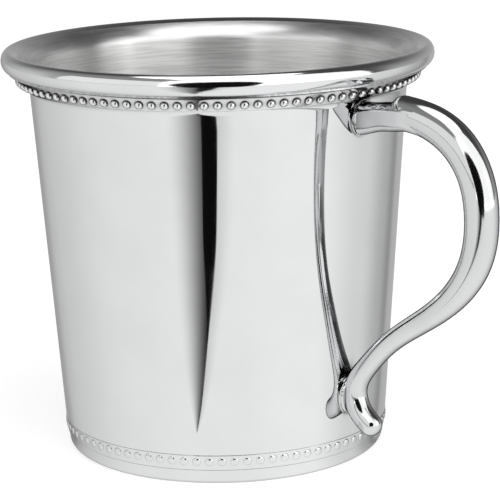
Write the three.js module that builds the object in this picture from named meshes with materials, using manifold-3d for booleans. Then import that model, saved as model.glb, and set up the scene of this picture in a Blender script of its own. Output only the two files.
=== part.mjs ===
// Baby cup: a tapered metal cup with a flared mouth, two beaded bands and a cast scroll handle.
// Millimetres, +Z up. The cup stands on z = 0, its axis is Z and its handle points along +X.

import * as THREE from 'three';
import { mergeGeometries, mergeVertices } from 'three/addons/utils/BufferGeometryUtils.js';
import Module from 'manifold-3d';

const wasm = await Module();
wasm.setup();

// Cup sizes
const CUP_HEIGHT = 66.2; // table to the top of the mouth wire
const MOUTH_RADIUS = 35; // outside of the mouth wire
const FLARE_REACH = 4.57; // outside of the straight wall at its top to the outside of the mouth
const FLARE_HEIGHT = 8.2; // start of the flare to the top of the mouth
const FLARE_LEAN = 50; // degrees from upright where the flare meets the mouth wire
const WALL_DRAW = 4.1; // how far the straight wall draws in from its top to the table
const WALL_THICKNESS = 1.2;
const FOOT_HEIGHT = 2.6; // table to the rim of the base plate
const FOOT_EDGE_RADIUS = 1.6; // rounding of the foot's outer edge
const FOOT_SETBACK = 0.25; // base plate's rim inside the line of the wall
const FLOOR_THICKNESS = 1.5;

// Mouth wire and bead bands
const WIRE_WIDTH = 2.5; // across the lip
const WIRE_HEIGHT = 3.2;
const UPPER_BAND_DROP = 5.85; // top of the mouth to the lower edge of the upper band
const UPPER_BAND_HEIGHT = 2.1;
const UPPER_BAND_EDGE = 0.25; // thickness left at the upper band's top edge
const UPPER_BAND_LEAN = 17; // degrees that the upper band's face leans out from upright
const UPPER_BEAD_RISE = 0.42; // height of a bead above its band
const LOWER_BAND_HEIGHT = 2.05;
const LOWER_BAND_SINK = 0.6; // depth of the seat cut round the wall for the lower band
const LOWER_BAND_THICKNESS = 0.3;
const LOWER_BEAD_RISE = 0.22;
const BEAD_WIDTH = 1.35;
const BEAD_PITCH = 2.0; // bead to bead round a band
const BEAD_EDGE = 0.15; // top of the beads to the top edge of their band

// Handle
const NECK_DROP = 9.5; // top of the mouth to the middle of the neck's root
const NECK_RISE = 2.2; // neck's root to the middle of the bar's nose
const NECK_MID_RISE = 0.73; // neck's root to the middle of the neck, halfway along it
const NECK_HALF = 1.9; // half the neck's thickness
const NECK_ROOT_HALF = 2.35; // half its thickness at the root
const NOSE_OUT = 8.7; // wall to the middle of the bar's round nose
const NOSE_HALF = 2.5; // half the bar's thickness at the nose
const BOW_HALF = 2.53; // half its thickness at the bow
const HEEL_HALF = 1.85; // half its thickness at the heel
const TOE_HALF = 1.75; // half its thickness at the toe
const HEEL_HEIGHT = 13; // table to the middle of the heel
const HEEL_OUT = 1.45; // wall to the middle of the bar at the heel
const BOW_OUT = 24.25; // wall to the middle of the bar at the bow
const KICK_OUT = 2.5; // wall to the middle of the bar where the toe kicks out
const KICK_DROP = 2.7; // heel to the kick
const TOE_OUT = 4.93; // wall to the middle of the bar's round toe
const TOE_DROP = 4.8; // heel to toe
const BAR_SQUARENESS = 2.4; // 2 gives a round inside to the bar, more a squarer one
const PAD_THICKNESS = 0.6;
const UPPER_PAD_HEIGHT = 5.8;
const UPPER_PAD_LAND = 0.1; // upper pad showing each side of the neck's root
const LOWER_PAD_HEIGHT = 6.6;
const LOWER_PAD_LAND = 0.65; // lower pad showing each side of the heel
const LOWER_PAD_DROP = 0.6; // middle of the heel to the middle of its pad

// Clearances and fineness
const SOLDER_FILM = 0.24; // room left for solder between rings that share the cup's axis
const SOLDER_SLIP = 0.05; // clearance each side of a solder ring
const SEAT_GAP = 0.3; // clearance under and over a handle pad
const ROUND_STEPS = 48; // facets round the cup
const FLARE_STEPS = 6; // facets along the flare
const EDGE_STEPS = 3; // facets along a quarter round
const WIRE_SIDES = 12; // facets round the mouth wire
const SEAM_STEPS = 4; // facets of the solder under it
const BEAD_SIDES = 6; // facets round a bead
const OVAL_STEPS = 10; // facets along half a pad's edge
const BAR_SIDES = 12; // facets round the handle
const BAR_STEPS = 38; // rings along the handle
const NECK_STEPS = 8; // rings along the neck
const END_STEPS = 4; // rings in a rounded end
const END_SHARE = 0.94; // share of the quarter turn that they cover, before a small flat tip
const MERGE_REACH = 1e-4; // points closer than this are one point

// The bar's centreline between its named points: out as a share of the bow's reach, rise as a share
// of the climb from heel to neck, and the bar's thickness as a share of its thickness at the bow.
const BAR_ROUTE = [
  { out: 0.55, rise: 1.029, thick: 1.04 },
  { out: 0.757, rise: 0.974, thick: 1.065 },
  { out: 0.926, rise: 0.86, thick: 1.025 },
  { out: 1.0, rise: 0.712, thick: 1.0 },
  { out: 0.972, rise: 0.569, thick: 0.965 },
  { out: 0.826, rise: 0.43, thick: 0.84 },
  { out: 0.593, rise: 0.32, thick: 0.725 },
  { out: 0.353, rise: 0.224, thick: 0.655 },
  { out: 0.15, rise: 0.106, thick: 0.65 },
];

// Worked out from the sizes
const HALF_WALL = WALL_THICKNESS / 2;
const FLARE_START = CUP_HEIGHT - FLARE_HEIGHT;
const WALL_TOP_RADIUS = MOUTH_RADIUS - FLARE_REACH;
const TAPER = WALL_DRAW / FLARE_START;
const TAPER_ANGLE = Math.atan(TAPER);
const WALL_LOW = FOOT_HEIGHT + SOLDER_FILM;
const LOWER_BAND_TOP = WALL_LOW + LOWER_BAND_HEIGHT;
const UPPER_BAND_LOW = CUP_HEIGHT - UPPER_BAND_DROP;
const UPPER_BAND_TOP = UPPER_BAND_LOW + UPPER_BAND_HEIGHT;
const NECK_HEIGHT = CUP_HEIGHT - NECK_DROP;
const HANDLE_SEAT = SEAT_GAP + PAD_THICKNESS + SEAT_GAP;

// Finishes
const POLISHED = { color: 0xd6d7d8, metalness: 1, roughness: 0.1 };
const SATIN = { color: 0xc4c5c6, metalness: 1, roughness: 0.38 };
const SOLDER = { color: 0xa9abad, metalness: 1, roughness: 0.3 };

const cup = new THREE.Group();

function addPiece(name, geometry, finish) {
  const mesh = new THREE.Mesh(geometry, new THREE.MeshStandardMaterial(finish));
  mesh.name = name;
  cup.add(mesh);
}

// A ring or disc turned round Z from its section, given as [radius, height] points anticlockwise.
function turned(section) {
  const points = section.map(([radius, height]) => new THREE.Vector2(radius, height));
  points.push(points[0].clone());
  const geometry = new THREE.LatheGeometry(points, ROUND_STEPS);
  geometry.rotateX(Math.PI / 2);
  return geometry;
}

// A closed solid for joining and cutting.
function solidOf(geometry) {
  const bare = geometry.clone();
  bare.deleteAttribute('normal');
  bare.deleteAttribute('uv');
  const merged = mergeVertices(bare, MERGE_REACH);
  const corners = merged.index.array;
  const kept = [];
  for (let i = 0; i < corners.length; i += 3) {
    const [a, b, c] = corners.slice(i, i + 3);
    if (a !== b && b !== c && c !== a) kept.push(a, b, c);
  }
  const mesh = new wasm.Mesh({
    numProp: 3,
    vertProperties: new Float32Array(merged.attributes.position.array),
    triVerts: new Uint32Array(kept),
  });
  mesh.merge();
  return new wasm.Manifold(mesh);
}

function geometryOf(solid) {
  const mesh = solid.getMesh();
  const geometry = new THREE.BufferGeometry();
  geometry.setAttribute('position', new THREE.BufferAttribute(mesh.vertProperties, 3));
  geometry.setIndex(new THREE.BufferAttribute(mesh.triVerts, 1));
  geometry.computeVertexNormals();
  return geometry;
}

// Outside of the straight wall at a height.
function wallRadius(height) {
  return WALL_TOP_RADIUS - TAPER * (FLARE_START - height);
}

// The mouth wire's oval section.
const wire = {
  radius: MOUTH_RADIUS - WIRE_WIDTH / 2,
  height: CUP_HEIGHT - WIRE_HEIGHT / 2,
  halfWidth: WIRE_WIDTH / 2,
  halfHeight: WIRE_HEIGHT / 2,
};

function wireSection(grow, from, to, steps) {
  const points = [];
  for (let i = 0; i <= steps; i += 1) {
    const angle = from + ((to - from) * i) / steps;
    const radius = wire.radius + (wire.halfWidth + grow) * Math.cos(angle);
    points.push([radius, wire.height + (wire.halfHeight + grow) * Math.sin(angle)]);
  }
  return points;
}

// Middle line of the wall: straight up the taper, then a flare that aims at the mouth wire.
const lean = THREE.MathUtils.degToRad(FLARE_LEAN);
const flareAim = new THREE.Vector2(Math.sin(lean), Math.cos(lean));
const wireReach = Math.hypot(wire.halfWidth * flareAim.x, wire.halfHeight * flareAim.y);
const flareEnd = new THREE.Vector2(wire.radius, wire.height).addScaledVector(
  flareAim,
  -(wireReach + SOLDER_FILM),
);
const wallAim = new THREE.Vector2(Math.sin(TAPER_ANGLE), Math.cos(TAPER_ANGLE));

function wallMiddle(height) {
  return new THREE.Vector2(wallRadius(height) - HALF_WALL / Math.cos(TAPER_ANGLE), height);
}

const flareFoot = wallMiddle(FLARE_START);
const flareGap = flareEnd.clone().sub(flareFoot);
const flareTurn = wallAim.cross(flareAim);
const flareLead = flareGap.cross(flareAim) / flareTurn;
const flareCurve = new THREE.QuadraticBezierCurve(
  flareFoot,
  flareFoot.clone().addScaledVector(wallAim, flareLead),
  flareEnd,
);

// A line beside the wall's middle line, outwards where the offset is positive.
function wallLine(offset, low) {
  const beside = (point, aim) => [point.x + offset * aim.y, point.y - offset * aim.x];
  const foot = beside(wallMiddle(low), wallAim);
  foot[0] -= TAPER * (foot[1] - low);
  foot[1] = low;
  const line = [foot];
  for (let i = 0; i <= FLARE_STEPS; i += 1) {
    const share = i / FLARE_STEPS;
    line.push(beside(flareCurve.getPoint(share), flareCurve.getTangent(share)));
  }
  return line;
}

// The stretch of a rising line between two heights.
function between(line, low, high) {
  const at = (height) => {
    const next = line.findIndex((point) => point[1] >= height);
    const [r0, z0] = line[next - 1];
    const [r1, z1] = line[next];
    return [r0 + ((r1 - r0) * (height - z0)) / (z1 - z0), height];
  };
  const inside = line.filter((point) => point[1] > low && point[1] < high);
  return [at(low), ...inside, at(high)];
}

// Cup wall, with the seat for the lower band cut round its foot
function cupWall() {
  const outside = wallLine(HALF_WALL, LOWER_BAND_TOP + SOLDER_FILM);
  const inside = wallLine(-HALF_WALL, WALL_LOW).reverse();
  const seat = [WALL_LOW, LOWER_BAND_TOP + SOLDER_FILM].map((height) => [
    wallRadius(height) - LOWER_BAND_SINK,
    height,
  ]);
  return turned([...seat, ...outside, ...inside]);
}

// Base plate: a flat floor with a rounded foot and a low rim that carries the wall
function basePlate() {
  const rimOuter = wallRadius(FOOT_HEIGHT) - FOOT_SETBACK;
  const rimInner = wallLine(-HALF_WALL, FOOT_HEIGHT)[0][0];
  const fillet = FOOT_HEIGHT - FLOOR_THICKNESS;
  const section = [[0, 0]];
  for (let i = 0; i <= EDGE_STEPS; i += 1) {
    const angle = (Math.PI / 2) * (i / EDGE_STEPS);
    const height = FOOT_EDGE_RADIUS * (1 - Math.cos(angle));
    const lineRadius = rimOuter - TAPER * (FOOT_HEIGHT - height);
    section.push([lineRadius - FOOT_EDGE_RADIUS * (1 - Math.sin(angle)), height]);
  }
  section.push([rimOuter, FOOT_HEIGHT], [rimInner, FOOT_HEIGHT]);
  for (let i = 1; i <= EDGE_STEPS; i += 1) {
    const angle = (Math.PI / 2) * (i / EDGE_STEPS);
    section.push([rimInner - fillet * (1 - Math.cos(angle)), FOOT_HEIGHT - fillet * Math.sin(angle)]);
  }
  section.push([0, FLOOR_THICKNESS]);
  return turned(section);
}

function baseSolder() {
  const low = FOOT_HEIGHT + SOLDER_SLIP;
  const high = WALL_LOW - SOLDER_SLIP;
  const outer = wallRadius(FOOT_HEIGHT) - LOWER_BAND_SINK;
  const inner = wallLine(-HALF_WALL, WALL_LOW)[0][0];
  return turned([[inner, low], [outer, low], [outer, high], [inner, high]]);
}

// Mouth wire: an oval bead along the edge of the flare
function mouthWire() {
  return turned(wireSection(0, 0, 2 * Math.PI, WIRE_SIDES).slice(0, -1));
}

function mouthSolder() {
  const outerEdge = wallLine(HALF_WALL, WALL_LOW).at(-1);
  const innerEdge = wallLine(-HALF_WALL, WALL_LOW).at(-1);
  const lift = ([radius, height]) => [
    radius + SOLDER_SLIP * flareAim.x,
    height + SOLDER_SLIP * flareAim.y,
  ];
  const spread = Math.atan2(HALF_WALL, wireReach);
  const facing = Math.atan2(-flareAim.y * wire.halfHeight, -flareAim.x * wire.halfWidth);
  const arc = wireSection(SOLDER_SLIP, facing + spread, facing - spread, SEAM_STEPS);
  return turned([lift(innerEdge), lift(outerEdge), ...arc]);
}

// A bead band: a ring with one flat facet for each bead, and the bead raised from the facet's middle.
// The section's first two points are the lower and upper edge of the face that carries the beads.
function beadBand(section, beadRise) {
  const [low, top] = section;
  const count = Math.round((2 * Math.PI * low[0]) / BEAD_PITCH);
  const halfTurn = Math.PI / count;
  const corner = ([radius, height], side) => [
    radius * Math.cos(halfTurn),
    side * radius * Math.sin(halfTurn),
    height,
  ];
  const sector = [];
  section.slice(1).forEach((point, i) => {
    const next = section[(i + 2) % section.length];
    const [a, b, c, d] = [corner(point, -1), corner(point, 1), corner(next, 1), corner(next, -1)];
    sector.push(...a, ...b, ...c, ...a, ...c, ...d);
  });

  // The facet round the bead
  const outline = [corner(low, -1), corner(low, 1), corner(top, 1), corner(top, -1)];
  const flat = outline.map(([, across, height]) => new THREE.Vector2(across, height));
  const middle = top[1] - BEAD_EDGE - BEAD_WIDTH / 2;
  const onFace = (across, height, rise) => {
    const share = (height - low[1]) / (top[1] - low[1]);
    const radius = low[0] + (top[0] - low[0]) * share;
    return [radius * Math.cos(halfTurn) + rise, across, height];
  };
  const beadRing = (angle) => {
    const points = [];
    for (let k = 0; k < BEAD_SIDES; k += 1) {
      const turn = (2 * Math.PI * k) / BEAD_SIDES;
      const reach = (BEAD_WIDTH / 2) * Math.cos(angle);
      points.push([reach * Math.cos(turn), middle + reach * Math.sin(turn), beadRise * Math.sin(angle)]);
    }
    return points;
  };
  const foot = beadRing(0);
  const hole = foot.map(([across, height]) => new THREE.Vector2(across, height));
  const plane = [...flat, ...hole];
  THREE.ShapeUtils.triangulateShape(flat, [hole]).forEach((triangle) => {
    triangle.forEach((k) => sector.push(...onFace(plane[k].x, plane[k].y, 0)));
  });

  // The bead itself: a side wall and a cap
  const shoulder = beadRing(Math.PI / 4);
  const crown = onFace(0, middle, beadRise);
  foot.forEach((point, k) => {
    const next = (k + 1) % BEAD_SIDES;
    const quad = [point, foot[next], shoulder[next], shoulder[k]].map((corners) => onFace(...corners));
    sector.push(...quad[0], ...quad[1], ...quad[2], ...quad[0], ...quad[2], ...quad[3]);
    sector.push(...quad[3], ...quad[2], ...crown);
  });

  const one = new THREE.BufferGeometry();
  one.setAttribute('position', new THREE.Float32BufferAttribute(sector, 3));
  const sectors = [];
  for (let i = 0; i < count; i += 1) {
    sectors.push(one.clone().rotateZ(2 * halfTurn * i));
  }
  return mergeVertices(mergeGeometries(sectors), MERGE_REACH);
}

const upperSeat = between(wallLine(HALF_WALL + SOLDER_FILM, WALL_LOW), UPPER_BAND_LOW, UPPER_BAND_TOP);
const upperFace = upperSeat.at(-1)[0] + UPPER_BAND_EDGE;

function upperBand() {
  const leanIn = UPPER_BAND_HEIGHT * Math.tan(THREE.MathUtils.degToRad(UPPER_BAND_LEAN));
  const section = [
    [upperFace - leanIn, UPPER_BAND_LOW],
    [upperFace, UPPER_BAND_TOP],
    ...upperSeat.toReversed(),
  ];
  return beadBand(section, UPPER_BEAD_RISE);
}

function upperBandSolder() {
  const near = wallLine(HALF_WALL + SOLDER_SLIP, WALL_LOW);
  const far = wallLine(HALF_WALL + SOLDER_FILM - SOLDER_SLIP, WALL_LOW);
  return turned([
    ...between(far, UPPER_BAND_LOW, UPPER_BAND_TOP),
    ...between(near, UPPER_BAND_LOW, UPPER_BAND_TOP).reverse(),
  ]);
}

// A ring that leans with the wall, between two offsets from the line of the wall.
function wallRing(innerOffset, outerOffset, low, high) {
  return [
    [wallRadius(low) + innerOffset, low],
    [wallRadius(low) + outerOffset, low],
    [wallRadius(high) + outerOffset, high],
    [wallRadius(high) + innerOffset, high],
  ];
}

function lowerBand() {
  const inner = SOLDER_FILM - LOWER_BAND_SINK;
  const face = inner + LOWER_BAND_THICKNESS;
  const [innerLow, low, top, innerTop] = wallRing(inner, face, WALL_LOW, LOWER_BAND_TOP);
  return beadBand([low, top, innerTop, innerLow], LOWER_BEAD_RISE);
}

function lowerBandSolder() {
  const near = SOLDER_SLIP - LOWER_BAND_SINK;
  const far = SOLDER_FILM - SOLDER_SLIP - LOWER_BAND_SINK;
  return turned(wallRing(near, far, WALL_LOW, LOWER_BAND_TOP));
}

// Everything inside a line beside the wall, as one solid that cuts the pads and the handle.
function wallCore(offset) {
  const line = wallLine(HALF_WALL + offset, FOOT_HEIGHT);
  return solidOf(turned([[0, FOOT_HEIGHT], ...line, [0, line.at(-1)[1]]]));
}

// A pad: an oval plate bent round the wall
function handlePad(height, padHeight, padWidth) {
  const oval = new THREE.Shape();
  oval.absellipse(0, 0, padWidth / 2, padHeight / 2, 0, 2 * Math.PI);
  const block = new THREE.ExtrudeGeometry(oval, {
    depth: MOUTH_RADIUS,
    bevelEnabled: false,
    curveSegments: OVAL_STEPS,
  });
  block.rotateX(Math.PI / 2);
  block.rotateZ(Math.PI / 2);
  block.translate(0, 0, height);
  const shell = wallCore(SEAT_GAP + PAD_THICKNESS).subtract(wallCore(SEAT_GAP));
  return geometryOf(solidOf(block).intersect(shell));
}

function upperPad() {
  return handlePad(NECK_HEIGHT, UPPER_PAD_HEIGHT, 2 * (NECK_ROOT_HALF + UPPER_PAD_LAND));
}

function lowerPad() {
  return handlePad(HEEL_HEIGHT - LOWER_PAD_DROP, LOWER_PAD_HEIGHT, 2 * (HEEL_HALF + LOWER_PAD_LAND));
}

// The bar's section: round on the outside of the bow, with a flatter inside and soft shoulders there
function barSection() {
  const points = [];
  for (let i = 0; i < BAR_SIDES; i += 1) {
    const angle = (2 * Math.PI * (i + 0.5)) / BAR_SIDES;
    const power = Math.cos(angle) < 0 ? 2 / BAR_SQUARENESS : 1;
    const swell = (value) => Math.sign(value) * Math.abs(value) ** power;
    points.push(new THREE.Vector2(swell(Math.cos(angle)), swell(Math.sin(angle))));
  }
  return points;
}

// A bar swept in the XZ plane through stations of centre, direction and half thickness.
function sweptBar(stations) {
  const section = barSection();
  const positions = [];
  const index = [];
  stations.forEach(({ x, z, dx, dz, half }) => {
    section.forEach((point) => {
      positions.push(x - point.x * half * dz, point.y * half, z + point.x * half * dx);
    });
  });
  const ring = (station, side) => station * BAR_SIDES + (side % BAR_SIDES);
  for (let s = 0; s + 1 < stations.length; s += 1) {
    for (let k = 0; k < BAR_SIDES; k += 1) {
      index.push(ring(s, k), ring(s + 1, k + 1), ring(s, k + 1));
      index.push(ring(s, k), ring(s + 1, k), ring(s + 1, k + 1));
    }
  }
  const last = stations.length - 1;
  for (let k = 1; k + 1 < BAR_SIDES; k += 1) {
    index.push(ring(0, 0), ring(0, k), ring(0, k + 1));
    index.push(ring(last, 0), ring(last, k + 1), ring(last, k));
  }
  const geometry = new THREE.BufferGeometry();
  geometry.setAttribute('position', new THREE.Float32BufferAttribute(positions, 3));
  geometry.setIndex(index);
  return geometry;
}

// Stations along a smooth curve through named points, with half thickness carried between them.
function stationsAlong(route, steps) {
  const path = new THREE.CatmullRomCurve3(route.map(({ x, z }) => new THREE.Vector3(x, 0, z)), false);
  const sizes = new THREE.CatmullRomCurve3(route.map(({ half }) => new THREE.Vector3(half, 0, 0)), false);
  const stations = [];
  for (let i = 0; i <= steps; i += 1) {
    const share = i / steps;
    const point = path.getPoint(share);
    const aim = path.getTangent(share);
    stations.push({ x: point.x, z: point.z, dx: aim.x, dz: aim.z, half: sizes.getPoint(share).x });
  }
  return stations;
}

// A rounded end carried on from a station, forwards or backwards along its direction.
function roundEnd(station, sign) {
  const caps = [];
  for (let i = 1; i <= END_STEPS; i += 1) {
    const angle = (Math.PI / 2) * END_SHARE * (i / END_STEPS);
    const reach = sign * station.half * Math.sin(angle);
    caps.push({
      ...station,
      x: station.x + reach * station.dx,
      z: station.z + reach * station.dz,
      half: station.half * Math.cos(angle),
    });
  }
  return caps;
}

// Handle: a neck rooted on the upper pad runs into the nose of a bar that bows out,
// sweeps back to a heel on the lower pad and kicks out to a round toe.
function handle() {
  const climb = NECK_HEIGHT - HEEL_HEIGHT;
  const place = (out, height, half) => ({ x: wallRadius(height) + out, z: height, half });
  const nose = place(NOSE_OUT, NECK_HEIGHT + NECK_RISE, NOSE_HALF);
  const route = [
    nose,
    ...BAR_ROUTE.map(({ out, rise, thick }) =>
      place(out * BOW_OUT, HEEL_HEIGHT + rise * climb, thick * BOW_HALF),
    ),
    place(HEEL_OUT, HEEL_HEIGHT, HEEL_HALF),
    place(KICK_OUT, HEEL_HEIGHT - KICK_DROP, HEEL_HALF),
    place(TOE_OUT, HEEL_HEIGHT - TOE_DROP, TOE_HALF),
  ];
  const along = stationsAlong(route, BAR_STEPS);
  const bar = [...roundEnd(along[0], -1).reverse(), ...along, ...roundEnd(along.at(-1), 1)];
  const neckRoute = [
    place(-HALF_WALL, NECK_HEIGHT, NECK_ROOT_HALF),
    place(HANDLE_SEAT, NECK_HEIGHT, NECK_ROOT_HALF),
    place(NOSE_OUT / 2, NECK_HEIGHT + NECK_MID_RISE, NECK_HALF),
    place(NOSE_OUT, NECK_HEIGHT + NECK_RISE - (NOSE_HALF - NECK_HALF), NECK_HALF),
  ];
  const neck = stationsAlong(neckRoute, NECK_STEPS);
  const whole = solidOf(sweptBar(bar)).add(solidOf(sweptBar(neck)));
  return geometryOf(whole.subtract(wallCore(HANDLE_SEAT)));
}

addPiece('cup_wall', cupWall(), POLISHED);
addPiece('base_plate', basePlate(), SATIN);
addPiece('base_seam_solder', baseSolder(), SOLDER);
addPiece('mouth_wire', mouthWire(), POLISHED);
addPiece('mouth_wire_solder', mouthSolder(), SOLDER);
addPiece('upper_bead_band', upperBand(), POLISHED);
addPiece('upper_band_solder', upperBandSolder(), SOLDER);
addPiece('lower_bead_band', lowerBand(), POLISHED);
addPiece('lower_band_solder', lowerBandSolder(), SOLDER);
addPiece('handle', handle(), POLISHED);
addPiece('upper_handle_pad', upperPad(), POLISHED);
addPiece('lower_handle_pad', lowerPad(), POLISHED);

export default cup;
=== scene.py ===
"""Baby cup for its pictures: a polished cup with two beaded bands and a cast scroll handle.

The classes hold their sizes in millimetres and the bench works in metres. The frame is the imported
part's own: the cup stands on z = 0, its axis is Z and its handle points along +X.
"""

import logging
import math
from abc import ABC, abstractmethod
from collections.abc import Callable, Sequence
from dataclasses import dataclass, field
from enum import Enum

import bpy
import numpy as np
from mathutils import Matrix, Vector


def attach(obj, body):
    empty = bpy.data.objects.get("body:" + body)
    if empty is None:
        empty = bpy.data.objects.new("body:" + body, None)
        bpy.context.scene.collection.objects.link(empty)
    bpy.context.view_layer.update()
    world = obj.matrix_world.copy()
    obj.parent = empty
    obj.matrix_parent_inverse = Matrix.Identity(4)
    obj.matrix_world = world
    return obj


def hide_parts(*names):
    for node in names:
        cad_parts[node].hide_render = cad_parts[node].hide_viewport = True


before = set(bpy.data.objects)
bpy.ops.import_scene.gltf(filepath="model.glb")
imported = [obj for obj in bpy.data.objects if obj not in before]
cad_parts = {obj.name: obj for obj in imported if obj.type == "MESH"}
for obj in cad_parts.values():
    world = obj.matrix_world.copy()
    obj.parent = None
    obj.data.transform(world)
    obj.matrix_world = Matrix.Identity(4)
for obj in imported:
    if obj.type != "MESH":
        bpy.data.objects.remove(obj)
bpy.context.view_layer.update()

LOG = logging.getLogger("baby_cup")
MM = 0.001  # one millimetre in metres
WELD = 0.002  # points closer than this become one
ON_PLANE = 1e-7  # metres within which a cut counts a point as lying on its plane
ROUND_STEPS = 240  # facets round the cup
CORNER_STEPS = 11  # facets round a corner of a swept section
CORNER_LIMIT = 0.998  # largest rounding of such a corner, as a share of half the section
TIP_SHARE = 0.965  # share of a quarter turn that a rounded tip covers before its small flat end
ORIGIN = (0.0, 0.0, 0.0)
AXIS = (0.0, 0.0, 1.0)

Point = tuple[float, float]
Spot = tuple[float, float, float]
Row = tuple[float, float, float, float]
Oval = tuple[float, float, float]
Colour = tuple[float, float, float]


class Slot(Enum):
    """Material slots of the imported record."""

    POLISHED = "polished_metal"
    SATIN = "satin_metal"
    SOLDER = "solder"


class Fuse(Enum):
    """Ways that one solid changes another."""

    JOIN = "UNION"
    CUT = "DIFFERENCE"
    KEEP = "INTERSECT"


class Panel(Enum):
    """Outlines of a lamp's face."""

    SQUARE = "RECTANGLE"
    ROUND = "DISK"


class Signal:
    """A value on its way through a shader, so that sums read as sums."""

    def __init__(self, paint: "Paint", socket: bpy.types.NodeSocket) -> None:
        """Keeps the socket and the tree that it is in."""
        self.paint = paint
        self.socket = socket

    def __add__(self, other: "Feed") -> "Signal":
        """Returns self + other."""
        return self.paint.math("ADD", self, other)

    def __radd__(self, other: "Feed") -> "Signal":
        """Returns other + self."""
        return self.paint.math("ADD", other, self)

    def __sub__(self, other: "Feed") -> "Signal":
        """Returns self - other."""
        return self.paint.math("SUBTRACT", self, other)

    def __rsub__(self, other: "Feed") -> "Signal":
        """Returns other - self."""
        return self.paint.math("SUBTRACT", other, self)

    def __mul__(self, other: "Feed") -> "Signal":
        """Returns self * other."""
        return self.paint.math("MULTIPLY", self, other)

    def __rtruediv__(self, other: "Feed") -> "Signal":
        """Returns other / self."""
        return self.paint.math("DIVIDE", other, self)

    def ramp(self, low: float, high: float) -> "Signal":
        """Returns a smooth step: 0 where this value is at low and 1 where it is at high."""
        settings = {"interpolation_type": "SMOOTHSTEP"}
        return self.paint.node("ShaderNodeMapRange", settings, {0: self, 1: low, 2: high})


Feed = Signal | float


class Paint:
    """The node tree of a material or a world, while it is being filled."""

    def __init__(self, owner: bpy.types.Material | bpy.types.World) -> None:
        """Switches the nodes on and empties them.

        Args:
            owner: the material or world.
        """
        owner.use_nodes = True
        self.tree = owner.node_tree
        self.tree.nodes.clear()

    def node(
        self,
        kind: str,
        settings: dict[str, object] | None = None,
        inputs: dict[int | str, object] | None = None,
        output: int | str = 0,
    ) -> Signal | None:
        """Adds a node.

        Args:
            kind: Blender's name for the type of node.
            settings: the node's own properties, set before its sockets.
            inputs: values or signals for its input sockets.
            output: the output socket to go on from.

        Returns:
            The signal of that output, or None for a node without outputs.
        """
        node = self.tree.nodes.new(kind)
        for name, value in (settings or {}).items():
            setattr(node, name, value)
        for name, value in (inputs or {}).items():
            if isinstance(value, Signal):
                self.tree.links.new(value.socket, node.inputs[name])
            else:
                node.inputs[name].default_value = value
        return Signal(self, node.outputs[output]) if len(node.outputs) else None

    def math(self, operation: str, first: Feed, second: Feed = 0.0) -> Signal:
        """Returns a Math node's result for one or two values."""
        return self.node("ShaderNodeMath", {"operation": operation}, {0: first, 1: second})

    def vector(self, operation: str, first: object, second: object = ORIGIN) -> Signal:
        """Returns a Vector Math node's vector for one or two vectors."""
        return self.node("ShaderNodeVectorMath", {"operation": operation}, {0: first, 1: second})

    def measure(self, operation: str, first: object, second: object = ORIGIN) -> Signal:
        """Returns a Vector Math node's number for one or two vectors."""
        return self.node("ShaderNodeVectorMath", {"operation": operation}, {0: first, 1: second}, "Value")

    def place(self) -> Signal:
        """Returns the place that is being shaded, in the object's own metres."""
        return self.node("ShaderNodeTexCoord", output="Object")

    def coordinate(self, place: Signal, axis: str) -> Signal:
        """Returns a place's X, Y or Z."""
        return self.node("ShaderNodeSeparateXYZ", None, {0: place}, axis)

    def ray(self, kind: str) -> Signal:
        """Returns 1 for rays of a kind, such as Camera or Glossy, and 0 for others."""
        return self.node("ShaderNodeLightPath", output=f"Is {kind} Ray")

    def noise(self, place: Signal, scale: float = 1.0, detail: float = 2.0) -> Signal:
        """Returns noise between 0 and 1 at a place, with a number of bumps per unit."""
        return self.node("ShaderNodeTexNoise", None, {"Vector": place, "Scale": scale, "Detail": detail})

    def blend(self, share: Feed, first: object, second: object) -> Signal:
        """Returns a colour between two colours."""
        return self.node("ShaderNodeMix", {"data_type": "RGBA"}, {0: share, 6: first, 7: second}, 2)

    def hollow(self, reach: float, samples: int) -> Signal:
        """Returns how closed in a place is, within a reach in millimetres."""
        inputs = {"Distance": reach * MM}
        return 1.0 - self.node("ShaderNodeAmbientOcclusion", {"samples": samples}, inputs, "AO")

    def bump(self, height: Signal, rise: float) -> Signal:
        """Returns the normal of a surface that a height lifts by up to a rise in millimetres."""
        return self.node("ShaderNodeBump", None, {"Strength": 1.0, "Distance": rise * MM, "Height": height})

    def rings(self, along: float, across: float) -> Signal:
        """Lays a place out along the circles that a lathe or a buffing wheel would leave.

        Args:
            along: noise cells along one radian of a circle.
            across: noise cells per metre across the circles.

        Returns:
            A place that changes slowly along each circle and quickly from circle to circle.
        """
        place = self.place()
        flat = self.vector("MULTIPLY", place, (1.0, 1.0, 0.0))
        aim = self.vector("MULTIPLY", self.vector("NORMALIZE", flat), (along, along, 0.0))
        step = self.coordinate(place, "Z") - self.measure("LENGTH", flat)
        return self.vector("ADD", aim, self.node("ShaderNodeCombineXYZ", None, {2: step * across}))


def colour(tone: Colour) -> Row:
    """Returns a colour with full alpha."""
    return (*tone, 1.0)


def grey(level: float) -> Row:
    """Returns a grey with full alpha; level 1 is white."""
    return (level, level, level, 1.0)


class Finish(ABC):
    """A metal surface that can be made into a material."""

    def material(self, name: str) -> bpy.types.Material:
        """Makes the material.

        Args:
            name: what to call it.

        Returns:
            The new material.
        """
        made = bpy.data.materials.new(name)
        paint = Paint(made)
        surface = paint.node("ShaderNodeBsdfPrincipled", None, {"Metallic": 1.0, **self.sockets(paint)})
        paint.node("ShaderNodeOutputMaterial", None, {"Surface": surface})
        return made

    @abstractmethod
    def sockets(self, paint: Paint) -> dict[str, object]:
        """Works out what goes into the surface's sockets.

        Args:
            paint: the material's node tree.

        Returns:
            Values and signals by the names of their sockets.
        """


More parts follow.
